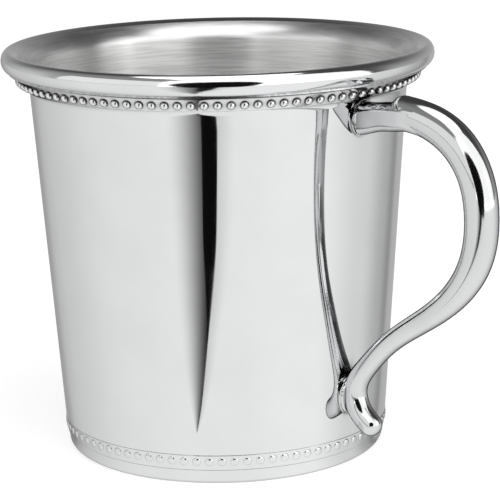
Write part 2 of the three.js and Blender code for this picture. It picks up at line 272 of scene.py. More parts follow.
@dataclass(frozen=True)
class MirrorFinish(Finish):
    """Buffed metal: a clear mirror with faint wheel marks, wiped patches, tarnish and painted shade in
    creases and painted shade in corners.

    The edge is the share of its light that the metal keeps where it is seen almost along its face. Levels are
    the noise values, and depths the shares closed in, between which a change sets in.
    """

    tone: Colour = (0.83, 0.835, 0.84)
    # tarnish together with painted shade, darkening the creases
    tarnish_and_shade: Colour = (0.16, 0.158, 0.155)
    # painted shade, near black, for the tightest corners
    corner_shade: Colour = (0.03, 0.03, 0.03)
    roughness: float = 0.035
    patches: float = 130.0
    patch_detail: float = 3.0
    tone_levels: Point = (0.3, 0.75)
    wiped: float = 0.03
    wiped_tone: float = 0.97
    wiped_levels: Point = (0.35, 0.8)
    # crease: how far tarnish and painted shade darken the creases
    crease: float = 0.8
    crease_reach: float = 0.9
    crease_depths: Point = (0.12, 0.62)
    crease_samples: int = 6
    crease_roughness: float = 0.12
    # corner: how far painted shade darkens the corners
    corner: float = 0.88
    corner_reach: float = 4.0
    corner_depths: Point = (0.45, 0.8)
    corner_samples: int = 8
    edge: float = 1.0
    wheel_lines: Point = (9.0, 3800.0)
    wheel_rise: float = 0.00012

    def sockets(self, paint: Paint) -> dict[str, object]:
        """Lays wheel marks, wiped patches, tarnish and painted shade in creases, painted shade in corners, on
        the tone.

        Args:
            paint: the material's node tree.

        Returns:
            Values and signals by the names of their sockets.
        """
        cloud = paint.noise(paint.place(), self.patches, self.patch_detail)
        # how closed in a crease is sets its tarnish, its painted shade and extra roughness
        tarnish_and_shade_mask = paint.hollow(self.crease_reach, self.crease_samples).ramp(*self.crease_depths)
        # painted shade in the corners, from occlusion over a wider reach
        corner_shade_mask = paint.hollow(self.corner_reach, self.corner_samples).ramp(*self.corner_depths)
        wiped = colour(tuple(self.wiped_tone * part for part in self.tone))
        clean = paint.blend(cloud.ramp(*self.tone_levels), colour(self.tone), wiped)
        tarnished_and_shaded = paint.blend(tarnish_and_shade_mask * self.crease, clean, colour(self.tarnish_and_shade))
        rough = self.roughness + cloud.ramp(*self.wiped_levels) * self.wiped
        return {
            # the painted corner shade is laid over the tarnish and painted crease shade
            "Base Color": paint.blend(corner_shade_mask * self.corner, tarnished_and_shaded, colour(self.corner_shade)),
            "Roughness": rough + tarnish_and_shade_mask * self.crease_roughness,
            "Specular Tint": grey(self.edge),
            "Normal": paint.bump(paint.noise(paint.rings(*self.wheel_lines)), self.wheel_rise),
        }


@dataclass(frozen=True)
class SatinFinish(Finish):
    """Metal brushed round and round: soft reflections drawn out across the brush lines."""

    tone: Colour = (0.96, 0.96, 0.955)
    shade: Colour = (0.8, 0.8, 0.795)
    roughness: float = 0.27
    line_roughness: float = 0.06
    line_levels: Point = (0.3, 0.7)
    tone_levels: Point = (0.4, 0.6)
    patches: float = 90.0
    patch_roughness: float = 0.06
    stretch: float = 0.76
    stretch_turn: float = 0.25
    fine_lines: Point = (4.0, 3600.0)
    broad_lines: Point = (2.5, 700.0)
    fine_share: float = 0.75
    brush_rise: float = 0.004

    def sockets(self, paint: Paint) -> dict[str, object]:
        """Lays fine and broad brush lines over each other.

        Args:
            paint: the material's node tree.

        Returns:
            Values and signals by the names of their sockets.
        """
        fine = paint.noise(paint.rings(*self.fine_lines))
        broad = paint.noise(paint.rings(*self.broad_lines))
        streak = fine * self.fine_share + broad * (1.0 - self.fine_share)
        cloud = paint.noise(paint.place(), self.patches)
        rough = self.roughness + streak.ramp(*self.line_levels) * self.line_roughness
        bright = streak.ramp(*self.tone_levels)
        return {
            "Base Color": paint.blend(bright, colour(self.shade), colour(self.tone)),
            "Roughness": rough + cloud * self.patch_roughness,
            "Anisotropic": self.stretch,
            "Anisotropic Rotation": self.stretch_turn,
            "Normal": paint.bump(fine, self.brush_rise),
        }


@dataclass(frozen=True)
class SolderFinish(Finish):
    """Buffed solder: greyer and duller than the metal beside it."""

    tone: Colour = (0.6, 0.605, 0.615)
    shade: Colour = (0.42, 0.42, 0.425)
    roughness: float = 0.2
    grain: float = 1500.0
    grain_detail: float = 3.0
    tone_levels: Point = (0.3, 0.7)
    grain_roughness: float = 0.1
    grain_rise: float = 0.004

    def sockets(self, paint: Paint) -> dict[str, object]:
        """Mottles the solder with a fine grain.

        Args:
            paint: the material's node tree.

        Returns:
            Values and signals by the names of their sockets.
        """
        grain = paint.noise(paint.place(), self.grain, self.grain_detail)
        bright = grain.ramp(*self.tone_levels)
        return {
            "Base Color": paint.blend(bright, colour(self.shade), colour(self.tone)),
            "Roughness": self.roughness + grain * self.grain_roughness,
            "Normal": paint.bump(grain, self.grain_rise),
        }


class Finishes:
    """The finishes that the pieces are dressed in, each made once."""

    def __init__(self) -> None:
        """Makes the eight materials."""
        self.mirror = MirrorFinish().material("mirror_polish")
        self.soft = MirrorFinish(roughness=0.09).material("soft_polish")
        # crease sets how far tarnish and painted shade darken creases, and corner how far painted shade
        # darkens corners
        self.clean = MirrorFinish(crease=0.3, corner=0.0, edge=0.75).material("clean_polish")
        self.ringed = MirrorFinish(crease=0.95, corner=0.0, edge=0.65).material("ringed_polish")
        beaded = MirrorFinish(crease=0.95, crease_depths=(0.06, 0.3), edge=0.0)
        self.beaded = beaded.material("beaded_polish")
        cast = MirrorFinish(tone=(0.74, 0.745, 0.75), roughness=0.09, wiped=0.05, edge=0.0)
        self.cast = cast.material("cast_polish")
        self.satin = SatinFinish().material("brushed_satin")
        self.solder = SolderFinish().material("buffed_solder")


@dataclass(frozen=True)
class Station:
    """A place along a swept bar: its centre, the way it faces and half its size each way."""

    centre: Point
    facing: float
    thick: float
    wide: float


class SmoothLine:
    """A curve with even bends through a row of points, so that reflections run along it unbroken."""

    def __init__(self, points: Sequence[Sequence[float]]) -> None:
        """Solves the natural cubic spline.

        Args:
            points: points to pass through; the first two numbers of each are a place in the plane.
        """
        self.values = np.array(points, float)
        steps = np.linalg.norm(np.diff(self.values[:, :2], axis=0), axis=1)
        self.knots = np.concatenate([[0.0], np.cumsum(steps)])
        count = len(self.values)
        matrix = np.eye(count)
        right = np.zeros_like(self.values)
        for i in range(1, count - 1):
            before = steps[i - 1]
            after = steps[i]
            matrix[i, i - 1 : i + 2] = before, 2 * (before + after), after
            rise = (self.values[i + 1] - self.values[i]) / after
            right[i] = 6 * (rise - (self.values[i] - self.values[i - 1]) / before)
        self.bends = np.linalg.solve(matrix, right)

    def at(self, share: float) -> np.ndarray:
        """Finds the values at a place on the curve.

        Args:
            share: how far along it is, from 0 to 1.

        Returns:
            The numbers that the points have, at that place.
        """
        along = share * self.knots[-1]
        i = int(np.clip(np.searchsorted(self.knots, along) - 1, 0, len(self.knots) - 2))
        width = self.knots[i + 1] - self.knots[i]
        low = (self.knots[i + 1] - along) / width
        high = 1.0 - low
        bend = ((low**3 - low) * self.bends[i] + (high**3 - high) * self.bends[i + 1]) * width**2 / 6
        return low * self.values[i] + high * self.values[i + 1] + bend

    def aim(self, share: float) -> float:
        """Finds which way the curve travels.

        Args:
            share: how far along, from 0 to 1.

        Returns:
            The angle from +Z towards +X.
        """
        nudge = 1e-4
        ahead = self.at(min(share + nudge, 1.0)) - self.at(max(share - nudge, 0.0))
        return math.atan2(ahead[0], ahead[1])

    def stations(self, count: int) -> list[Station]:
        """Places along the curve for a sweep.

        Args:
            count: how many places.

        Returns:
            The places, with the angles running on without a jump.
        """
        shares = np.linspace(0.0, 1.0, count)
        facings = np.unwrap([self.aim(share) for share in shares])
        made = []
        for share, facing in zip(shares, facings):
            x, z, thick, wide = self.at(share)
            made.append(Station((x, z), float(facing), thick, wide))
        return made


def round_end(station: Station, reach: float, blunt: float, ahead: int, steps: int = 9) -> list[Station]:
    """Closes the end of a sweep with a rounded tip.

    Args:
        station: the last full station.
        reach: how far the tip reaches past it.
        blunt: 1 for an elliptical tip, less for a blunter one.
        ahead: 1 for the far end of the sweep, -1 for its start.
        steps: stations in the tip.

    Returns:
        The tip's stations, outwards from the full one.
    """
    made = []
    for i in range(1, steps + 1):
        angle = TIP_SHARE * math.pi / 2 * i / steps
        out = ahead * reach * math.sin(angle) ** blunt
        size = math.cos(angle) ** blunt
        centre = (
            station.centre[0] + out * math.sin(station.facing),
            station.centre[1] + out * math.cos(station.facing),
        )
        made.append(Station(centre, station.facing, station.thick * size, station.wide * size))
    return made


def arc(centre: Point, radii: Point, start: float, end: float, steps: int) -> list[Point]:
    """Returns points along an elliptical arc between two angles in degrees."""
    angles = np.radians(np.linspace(start, end, steps + 1))
    return [(centre[0] + radii[0] * math.cos(a), centre[1] + radii[1] * math.sin(a)) for a in angles]


def curve(start: Point, lead: Point, tail: Point, end: Point, steps: int) -> list[Point]:
    """Draws a cubic curve.

    Args:
        start: its first point.
        lead: the handle point that it sets out towards.
        tail: the handle point that it arrives from.
        end: its last point.
        steps: how many pieces it is cut into.

    Returns:
        Points along it, with both ends.
    """
    corners = np.array([start, lead, tail, end])
    made = []
    for share in np.linspace(0.0, 1.0, steps + 1):
        rest = 1.0 - share
        weights = np.array([rest**3, 3 * rest**2 * share, 3 * rest * share**2, share**3])
        made.append(tuple(float(v) for v in weights @ corners))
    return made


def straight(start: Point, end: Point, steps: int) -> list[Point]:
    """Returns evenly spaced points along a line."""
    return [tuple(float(v) for v in p) for p in np.linspace(start, end, steps + 1)]


class Bench:
    """Modelling tools in millimetres. They leave an object at the origin, with its place in its mesh."""

    @staticmethod
    def start(name: str, side: float) -> bpy.types.Object:
        """Puts a plane at the origin and opens it for editing, with all of it selected.

        Args:
            name: name of the new object.
            side: length of the plane's sides.

        Returns:
            The object, in edit mode.
        """
        bpy.ops.object.select_all(action="DESELECT")
        bpy.ops.mesh.primitive_plane_add(size=side * MM)
        piece = bpy.context.object
        piece.name = name
        bpy.ops.object.mode_set(mode="EDIT")
        bpy.ops.mesh.select_mode(type="VERT")
        bpy.ops.mesh.select_all(action="SELECT")
        return piece

    @staticmethod
    def open(piece: bpy.types.Object) -> None:
        """Opens a piece for editing with nothing selected.

        Args:
            piece: the piece to open.
        """
        Bench.only(piece)
        bpy.ops.object.mode_set(mode="EDIT")
        bpy.ops.mesh.select_all(action="DESELECT")

    @staticmethod
    def only(piece: bpy.types.Object) -> None:
        """Makes a piece the one selected, active object.

        Args:
            piece: the piece to work on next.
        """
        bpy.ops.object.select_all(action="DESELECT")
        piece.select_set(True)
        bpy.context.view_layer.objects.active = piece

    @staticmethod
    def close() -> None:
        """Welds what is open, turns its faces outwards and leaves edit mode."""
        bpy.ops.mesh.select_all(action="SELECT")
        bpy.ops.mesh.remove_doubles(threshold=WELD * MM)
        bpy.ops.mesh.normals_make_consistent(inside=False)
        bpy.ops.object.mode_set(mode="OBJECT")

    @staticmethod
    def turned(name: str, section: Sequence[Point], ring: bool = True) -> bpy.types.Object:
        """Turns a section round the cup's axis.

        Args:
            name: name of the new object.
            section: radius and height of the section's points in order.
            ring: True to close the section, False for one that starts and ends on the axis.

        Returns:
            The turned object.
        """
        piece = Bench.start(name, 1.0)
        bpy.ops.mesh.merge(type="CENTER")
        radius, height = section[0]
        bpy.ops.transform.translate(value=(radius * MM, 0.0, height * MM))
        route = [*section[1:], section[0]] if ring else section[1:]
        for next_radius, next_height in route:
            step = ((next_radius - radius) * MM, 0.0, (next_height - height) * MM)
            bpy.ops.mesh.extrude_region_move(TRANSFORM_OT_translate={"value": step})
            radius, height = next_radius, next_height
        bpy.ops.mesh.select_all(action="SELECT")
        bpy.ops.mesh.remove_doubles(threshold=WELD * MM)
        bpy.ops.mesh.spin(steps=ROUND_STEPS, angle=2 * math.pi, center=ORIGIN, axis=AXIS)
        Bench.close()
        return piece

    @staticmethod
    def turn(angle: float, centre: Point) -> None:
        """Turns the selection about Y, from +Z towards +X, round a point of the handle's plane."""
        pivot = (centre[0] * MM, 0.0, centre[1] * MM)
        bpy.ops.transform.rotate(value=-angle, orient_axis="Y", orient_type="GLOBAL", center_override=pivot)

    @staticmethod
    def swept(name: str, stations: Sequence[Station], outer: float, inner: float) -> bpy.types.Object:
        """Sweeps a rounded section along stations in the plane y = 0.

        Args:
            name: name of the new object.
            stations: the places to pass through.
            outer: rounding of the section's two outer corners, as a share of half its size.
            inner: rounding of its two inner corners.

        Returns:
            The swept object.
        """
        piece = Bench.start(name, 2.0)
        for side, share in ((-1, outer), (1, inner)):
            bpy.ops.mesh.select_all(action="DESELECT")
            bpy.ops.object.mode_set(mode="OBJECT")
            for corner in piece.data.vertices:
                corner.select = abs(abs(corner.co.x) - MM) < ON_PLANE and corner.co.x * side > 0
            bpy.ops.object.mode_set(mode="EDIT")
            width = CORNER_LIMIT * share * MM
            bpy.ops.mesh.bevel(offset=width, segments=CORNER_STEPS, profile=0.5, affect="VERTICES")
        bpy.ops.mesh.select_all(action="SELECT")
        first = stations[0]
        bpy.ops.transform.resize(value=(first.thick, first.wide, 1.0), center_override=ORIGIN)
        Bench.turn(first.facing, (0.0, 0.0))
        bpy.ops.transform.translate(value=(first.centre[0] * MM, 0.0, first.centre[1] * MM))
        for last, here in zip(stations, stations[1:]):
            step = ((here.centre[0] - last.centre[0]) * MM, 0.0, (here.centre[1] - last.centre[1]) * MM)
            bpy.ops.mesh.extrude_region_move(TRANSFORM_OT_translate={"value": step})
            Bench.turn(here.facing - last.facing, here.centre)
            thick = here.thick / last.thick
            pivot = (here.centre[0] * MM, 0.0, here.centre[1] * MM)
            bpy.ops.transform.resize(value=(thick, here.wide / last.wide, thick), center_override=pivot)
        Bench.close()
        return piece

    @staticmethod
    def fuse(piece: bpy.types.Object, tool: bpy.types.Object, way: Fuse) -> None:
        """Joins, cuts or keeps a piece with a tool, which is used up.

        Args:
            piece: the solid to change.
            tool: the solid to change it with.
            way: what to do.
        """
        Bench.only(piece)
        bpy.ops.object.modifier_add(type="BOOLEAN")
        modifier = piece.modifiers[-1]
        modifier.operation = way.value
        modifier.object = tool
        modifier.solver = "EXACT"
        bpy.ops.object.modifier_apply(modifier=modifier.name)
        Bench.only(tool)
        bpy.ops.object.delete()
        Bench.open(piece)
        Bench.close()

    @staticmethod
    def soften(piece: bpy.types.Object, width: float, angle: float, segments: int = 3) -> None:
        """Rounds a piece's sharp edges.

        Args:
            piece: the piece to round.
            width: width of the rounding.
            angle: degrees between two faces above which their edge is rounded.
            segments: facets across the rounding.
        """
        Bench.only(piece)
        bpy.ops.object.modifier_add(type="BEVEL")
        modifier = piece.modifiers[-1]
        modifier.width = width * MM
        modifier.segments = segments
        modifier.limit_method = "ANGLE"
        modifier.angle_limit = math.radians(angle)
        bpy.ops.object.modifier_apply(modifier=modifier.name)

    @staticmethod
    def smooth(piece: bpy.types.Object, angle: float = 35.0) -> None:
        """Shades a piece smooth, except over edges sharper than an angle in degrees."""
        Bench.only(piece)
        bpy.ops.object.shade_smooth_by_angle(angle=math.radians(angle))


@dataclass
class Assembly(ABC):
    """Pieces that belong together, by the names of their CAD nodes: built first, then dressed."""

    pieces: dict[str, bpy.types.Object] = field(default_factory=dict, init=False)

    @abstractmethod
    def build(self) -> None:
        """Models the pieces."""

    @abstractmethod
    def dress(self, finishes: Finishes) -> None:
        """Gives the pieces their finishes."""

    def keep(self, piece: bpy.types.Object, node: str, slot: Slot) -> None:
        """Sets a piece on the cup in place of its CAD node.

        Args:
            piece: the finished piece.
            node: the CAD node that it stands for.
            slot: the record's slot for its finish; not used.
        """
        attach(piece, "root")
        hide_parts(node)
        self.pieces[node] = piece
        LOG.info("%s: %d faces, for %s", piece.name, len(piece.data.polygons), node)

    def wear(self, material: bpy.types.Material, *nodes: str) -> None:
        """Adds one material to the pieces that stand for these nodes."""
        for node in nodes:
            self.pieces[node].data.materials.append(material)


@dataclass
class CupShape:
    """Lines of the cup that several pieces share."""

    wall_top: float = 30.43
    flare_start: float = 58.0
    wall_draw: float = 4.1
    wall_thickness: float = 1.2
    wire_middle: Point = (33.75, 64.6)
    wire_halves: Point = (1.2495, 1.6)

    @property
    def taper(self) -> float:
        """Returns how far the wall draws in for each step down."""
        return self.wall_draw / self.flare_start

    def wall(self, height: float) -> float:
        """Returns the outside radius of the straight wall at a height."""
        return self.wall_top - self.taper * (self.flare_start - height)

    def on_wire(self, angle: float) -> Point:
        """Returns the point of the mouth wire's section at an angle in degrees."""
        return arc(self.wire_middle, self.wire_halves, angle, angle, 0)[0]


@dataclass
class CupBody(Assembly):
    """The drawn wall with its flare, the floor plate under it and the seam between them.

    The lip's two angles say where the wall meets the mouth wire's section. A face of the wall's inside that
    turns up more than satin_limit belongs to the polished lip, and a face of the plate that turns up or down
    more than flat_limit is satin.
    """

    shape: CupShape
    wall_low: float = 2.84
    seat_top: float = 5.08
    seat_sink: float = 0.6
    seat_edge: Point = (0.06, 0.08)
    flare_low: float = 59.4
    flare_lead: float = 0.4
    flare_tail: Point = (30.75, 60.05)
    band_low: Point = (31.0, 60.3)
    band_top: Point = (32.5, 62.45)
    lip_outer: float = -75.0
    lip_inner: float = 103.0
    lip_tuck: float = 0.12
    lip_lead: float = 2.1
    inside_tail: float = 1.7
    inside_flare: Point = (29.58, 62.9)
    foot_height: float = 2.6
    foot_edge: float = 1.6
    foot_setback: float = 0.25
    rim_edge: float = 0.05
    floor_top: float = 1.5
    seam_width: float = 0.06
    seam_bulge: float = 0.05
    satin_limit: float = 0.93
    flat_limit: float = 0.9

    def build(self) -> None:
        """Models the wall, the floor plate and the seam."""
        self.keep(self._wall(), "cup_wall", Slot.POLISHED)
        self.keep(self._floor(), "base_plate", Slot.SATIN)
        self.keep(self._seam(), "base_seam_solder", Slot.SOLDER)

    def _wall(self) -> bpy.types.Object:
        """Models the wall, from the seat for the lower band up to the mouth wire and down the inside.

        Returns:
            The wall.
        """
        shape = self.shape
        seat_low = (shape.wall(self.wall_low) - self.seat_sink, self.wall_low)
        seat_high = (shape.wall(self.seat_top) - self.seat_sink, self.seat_top)
        edge = (shape.wall(self.seat_top) - self.seat_edge[0], self.seat_top)
        edge_top = self._on_wall(self.seat_top + self.seat_edge[1])
        taper_top = self._on_wall(self.flare_low)
        lead = self._on_wall(self.flare_low + self.flare_lead)
        outer = shape.on_wire(self.lip_outer)
        inner = shape.on_wire(self.lip_inner)
        section = [seat_low, seat_high, edge]
        section += straight(edge_top, taper_top, steps=24)
        section += curve(taper_top, lead, self.flare_tail, self.band_low, steps=8)[1:]
        section += straight(self.band_low, self.band_top, steps=4)[1:]
        section += straight(self.band_top, outer, steps=6)[1:]
        section += [self._toward_wire(outer), self._toward_wire(inner)]
        half_width, half_height = shape.wire_halves
        aim = math.atan(half_width / half_height * math.tan(math.radians(180 - self.lip_inner)))
        first = (inner[0] - self.lip_lead * math.sin(aim), inner[1] - self.lip_lead * math.cos(aim))
        radius, height = self.inside_flare
        last = (radius + shape.taper * self.inside_tail, height + self.inside_tail)
        section += curve(inner, first, last, self.inside_flare, steps=20)
        inside_low = (shape.wall(self.wall_low) - shape.wall_thickness, self.wall_low)
        section += straight(self.inside_flare, inside_low, steps=24)[1:]
        piece = Bench.turned("drawn_wall", section)
        Bench.smooth(piece)
        return piece

    def _on_wall(self, height: float) -> Point:
        """Returns the point of the straight wall's outside at a height."""
        return (self.shape.wall(height), height)

    def _toward_wire(self, point: Point) -> Point:
        """Returns a point a little way from the wire's surface towards its middle."""
        middle = self.shape.wire_middle
        return tuple(here + self.lip_tuck * (there - here) for here, there in zip(point, middle))

    def _floor(self) -> bpy.types.Object:
        """Models the floor plate with its rounded foot and low rim.

        Returns:
            The plate.
        """
        shape = self.shape
        rim = shape.wall(self.foot_height) - self.foot_setback
        inner = shape.wall(self.foot_height) - shape.wall_thickness
        hollow = self.foot_height - self.floor_top
        foot = rim - shape.taper * (self.foot_height - self.foot_edge) - self.foot_edge
        section = straight((0.0, 0.0), (foot, 0.0), steps=6)
        section += arc((foot, self.foot_edge), (self.foot_edge, self.foot_edge), -90.0, 0.0, steps=12)[1:]
        section += [(rim, self.foot_height - self.rim_edge), (rim - self.rim_edge, self.foot_height)]
        section.append((inner, self.foot_height))
        section += arc((inner - hollow, self.foot_height), (hollow, hollow), 0.0, -90.0, steps=8)[1:]
        section += straight((inner - hollow, self.floor_top), (0.0, self.floor_top), steps=8)[1:]
        piece = Bench.turned("floor_plate", section, ring=False)
        Bench.smooth(piece)
        return piece

    def _seam(self) -> bpy.types.Object:
        """Models the solder between the floor plate's rim and the wall.

        Returns:
            The solder.
        """
        low = self.foot_height
        outer = self.shape.wall(low) - self.foot_setback - self.seam_width
        inner = self.shape.wall(low) - self.shape.wall_thickness
        middle = (low + self.wall_low) / 2
        section = [(inner, low), (outer, low), (outer + self.seam_bulge, middle), (outer, self.wall_low)]
        section += [(inner, self.wall_low), (inner - self.seam_bulge / 2, middle)]
        piece = Bench.turned("floor_seam", section)
        Bench.smooth(piece, angle=60.0)
        return piece

    def dress(self, finishes: Finishes) -> None:
        """Polishes the outside, brushes the inside and the floor plate, and dulls the seam.

        Args:
            finishes: the materials to choose from.
        """
        self.wear(finishes.mirror, "cup_wall")
        self.wear(finishes.clean, "base_plate")
        self.wear(finishes.satin, "cup_wall", "base_plate")
        for face in self.pieces["cup_wall"].data.polygons:
            inwards = face.normal.x * face.center.x + face.normal.y * face.center.y < 0
            face.material_index = int(inwards and face.normal.z < self.satin_limit)
        for face in self.pieces["base_plate"].data.polygons:
            face.material_index = int(abs(face.normal.z) > self.flat_limit)
        self.wear(finishes.solder, "base_seam_solder")


@dataclass
class Mouth(Assembly):
    """The rounded wire along the mouth and the solder that holds it, between two angles of its section."""

    shape: CupShape
    seam_reach: float = 0.3
    seam_sink: float = 0.03
    seam_start: float = 205.0
    seam_end: float = 275.0

    def build(self) -> None:
        """Models the wire and its seam."""
        middle = self.shape.wire_middle
        halves = self.shape.wire_halves
        wire = Bench.turned("mouth_roll", arc(middle, halves, 0.0, 360.0, steps=64)[:-1])
        Bench.smooth(wire)
        self.keep(wire, "mouth_wire", Slot.POLISHED)
        grown = (halves[0] + self.seam_reach, halves[1] + self.seam_reach)
        sunk = (halves[0] - self.seam_sink, halves[1] - self.seam_sink)
        outside = arc(middle, grown, self.seam_start, self.seam_end, steps=10)
        inside = arc(middle, sunk, self.seam_end, self.seam_start, steps=10)
        seam = Bench.turned("mouth_seam", [*outside, *inside])
        Bench.smooth(seam)
        self.keep(seam, "mouth_wire_solder", Slot.SOLDER)

    def dress(self, finishes: Finishes) -> None:
        """Polishes the wire and dulls the seam."""
        self.wear(finishes.soft, "mouth_wire")
        self.wear(finishes.solder, "mouth_wire_solder")


@dataclass
class BeadBand(Assembly):
    """A ring of beads on a strip, and the solder behind it.

    The strip is the outline of its face and the back its two back corners, both from the low end up. The
    seam is the solder's four corners. A bead's middle is measured up from the strip's low end. Of a bead's
    height, the share bead_sink is kept below its widest line, inside the strip.
    """

    title: str
    nodes: tuple[str, str]
    strip: tuple[Point, ...]
    back: tuple[Point, Point]
    seam: tuple[Point, Point, Point, Point]
    count: int
    bead_height: float
    bead_middle: float
    bead_width: float = 1.35
    bead_sink: float = 0.3
    edge: float = 0.1
    shallow: bool = False

    @classmethod
    def upper(cls) -> "BeadBand":
        """Sizes the band under the mouth, whose strip follows the flare.

        Returns:
            The upper band.
        """
        return cls(
            title="upper",
            nodes=("upper_bead_band", "upper_band_solder"),
            strip=tuple(curve((31.6, 60.35), (32.05, 61.0), (32.46, 61.75), (32.76, 62.45), 8)),
            back=((31.2, 60.35), (32.35, 62.45)),
            seam=((30.9, 60.4), (31.25, 60.4), (32.4, 62.4), (32.1, 62.4)),
            count=101,
            bead_height=0.6,
            bead_middle=1.02,
        )

    @classmethod
    def lower(cls) -> "BeadBand":
        """Sizes the band above the foot, whose beads are shallow.

        Returns:
            The lower band.
        """
        return cls(
            title="lower",
            nodes=("lower_bead_band", "lower_band_solder"),
            strip=((26.46, 2.66), (26.65, 5.07)),
            back=((26.15, 2.66), (26.3, 5.07)),
            seam=((25.9, 2.86), (26.2, 2.86), (26.36, 5.06), (26.06, 5.06)),
            count=83,
            bead_height=0.2,
            bead_middle=1.405,
            edge=0.06,
            shallow=True,
        )

    def build(self) -> None:
        """Models the strip with its beads, and the solder."""
        strip = self._strip()
        Bench.fuse(strip, self._beads(), Fuse.JOIN)
        Bench.smooth(strip, angle=40.0)
        self.keep(strip, self.nodes[0], Slot.POLISHED)
        solder = Bench.turned(f"{self.title}_seam", self.seam)
        Bench.smooth(solder)
        self.keep(solder, self.nodes[1], Slot.SOLDER)

    def _strip(self) -> bpy.types.Object:
        """Models the plain strip and rounds its two front edges.

        Returns:
            The strip.
        """
        piece = Bench.turned(f"{self.title}_beading", [*self.strip, self.back[1], self.back[0]])
        Bench.open(piece)
        bpy.ops.mesh.select_mode(type="EDGE")
        bpy.ops.object.mode_set(mode="OBJECT")
        corners = [Vector((radius, height)) * MM for radius, height in (self.strip[0], self.strip[-1])]
        for edge in piece.data.edges:
            ends = [piece.data.vertices[index].co for index in edge.vertices]
            spots = [Vector((end.xy.length, end.z)) for end in ends]
            edge.select = any(all((spot - corner).length < WELD * MM for spot in spots) for corner in corners)
        bpy.ops.object.mode_set(mode="EDIT")
        bpy.ops.mesh.bevel(offset=self.edge * MM, segments=3, profile=0.5, affect="EDGES")
        bpy.ops.mesh.select_mode(type="VERT")
        Bench.close()
        return piece

    def _beads(self) -> bpy.types.Object:
        """Shapes one bead, sets it on the strip and copies it round.

        Returns:
            The ring of beads.
        """
        height = self.strip[0][1] + self.bead_middle
        radii, heights = zip(*self.strip)
        reach = self.bead_width / 4
        low, radius, high = np.interp((height - reach, height, height + reach), heights, radii)
        lean = math.atan2(high - low, 2 * reach)
        half = self.bead_width / 2
        piece = Bench.start(f"{self.title}_beads", 1.0)
        bpy.ops.mesh.delete(type="VERT")
        bpy.ops.mesh.primitive_uv_sphere_add(segments=16, ring_count=8, radius=half * MM)
        bpy.ops.transform.resize(value=(1.0, 1.0, self.bead_height / half), center_override=ORIGIN)
        cut = (0.0, 0.0, -self.bead_sink * self.bead_height * MM)
        bpy.ops.mesh.bisect(plane_co=cut, plane_no=AXIS, clear_inner=True, use_fill=True, threshold=ON_PLANE)
        bpy.ops.mesh.select_all(action="SELECT")
        Bench.turn(math.pi / 2 + lean, (0.0, 0.0))
        bpy.ops.transform.translate(value=(float(radius) * MM, 0.0, height * MM))
        turn = 2 * math.pi * (self.count - 1) / self.count
        bpy.ops.mesh.spin(steps=self.count - 1, dupli=True, angle=turn, center=ORIGIN, axis=AXIS)
        Bench.close()
        return piece

    def dress(self, finishes: Finishes) -> None:
        """Polishes the beads and dulls the solder."""
        self.wear(finishes.ringed if self.shallow else finishes.beaded, self.nodes[0])
        self.wear(finishes.solder, self.nodes[1])


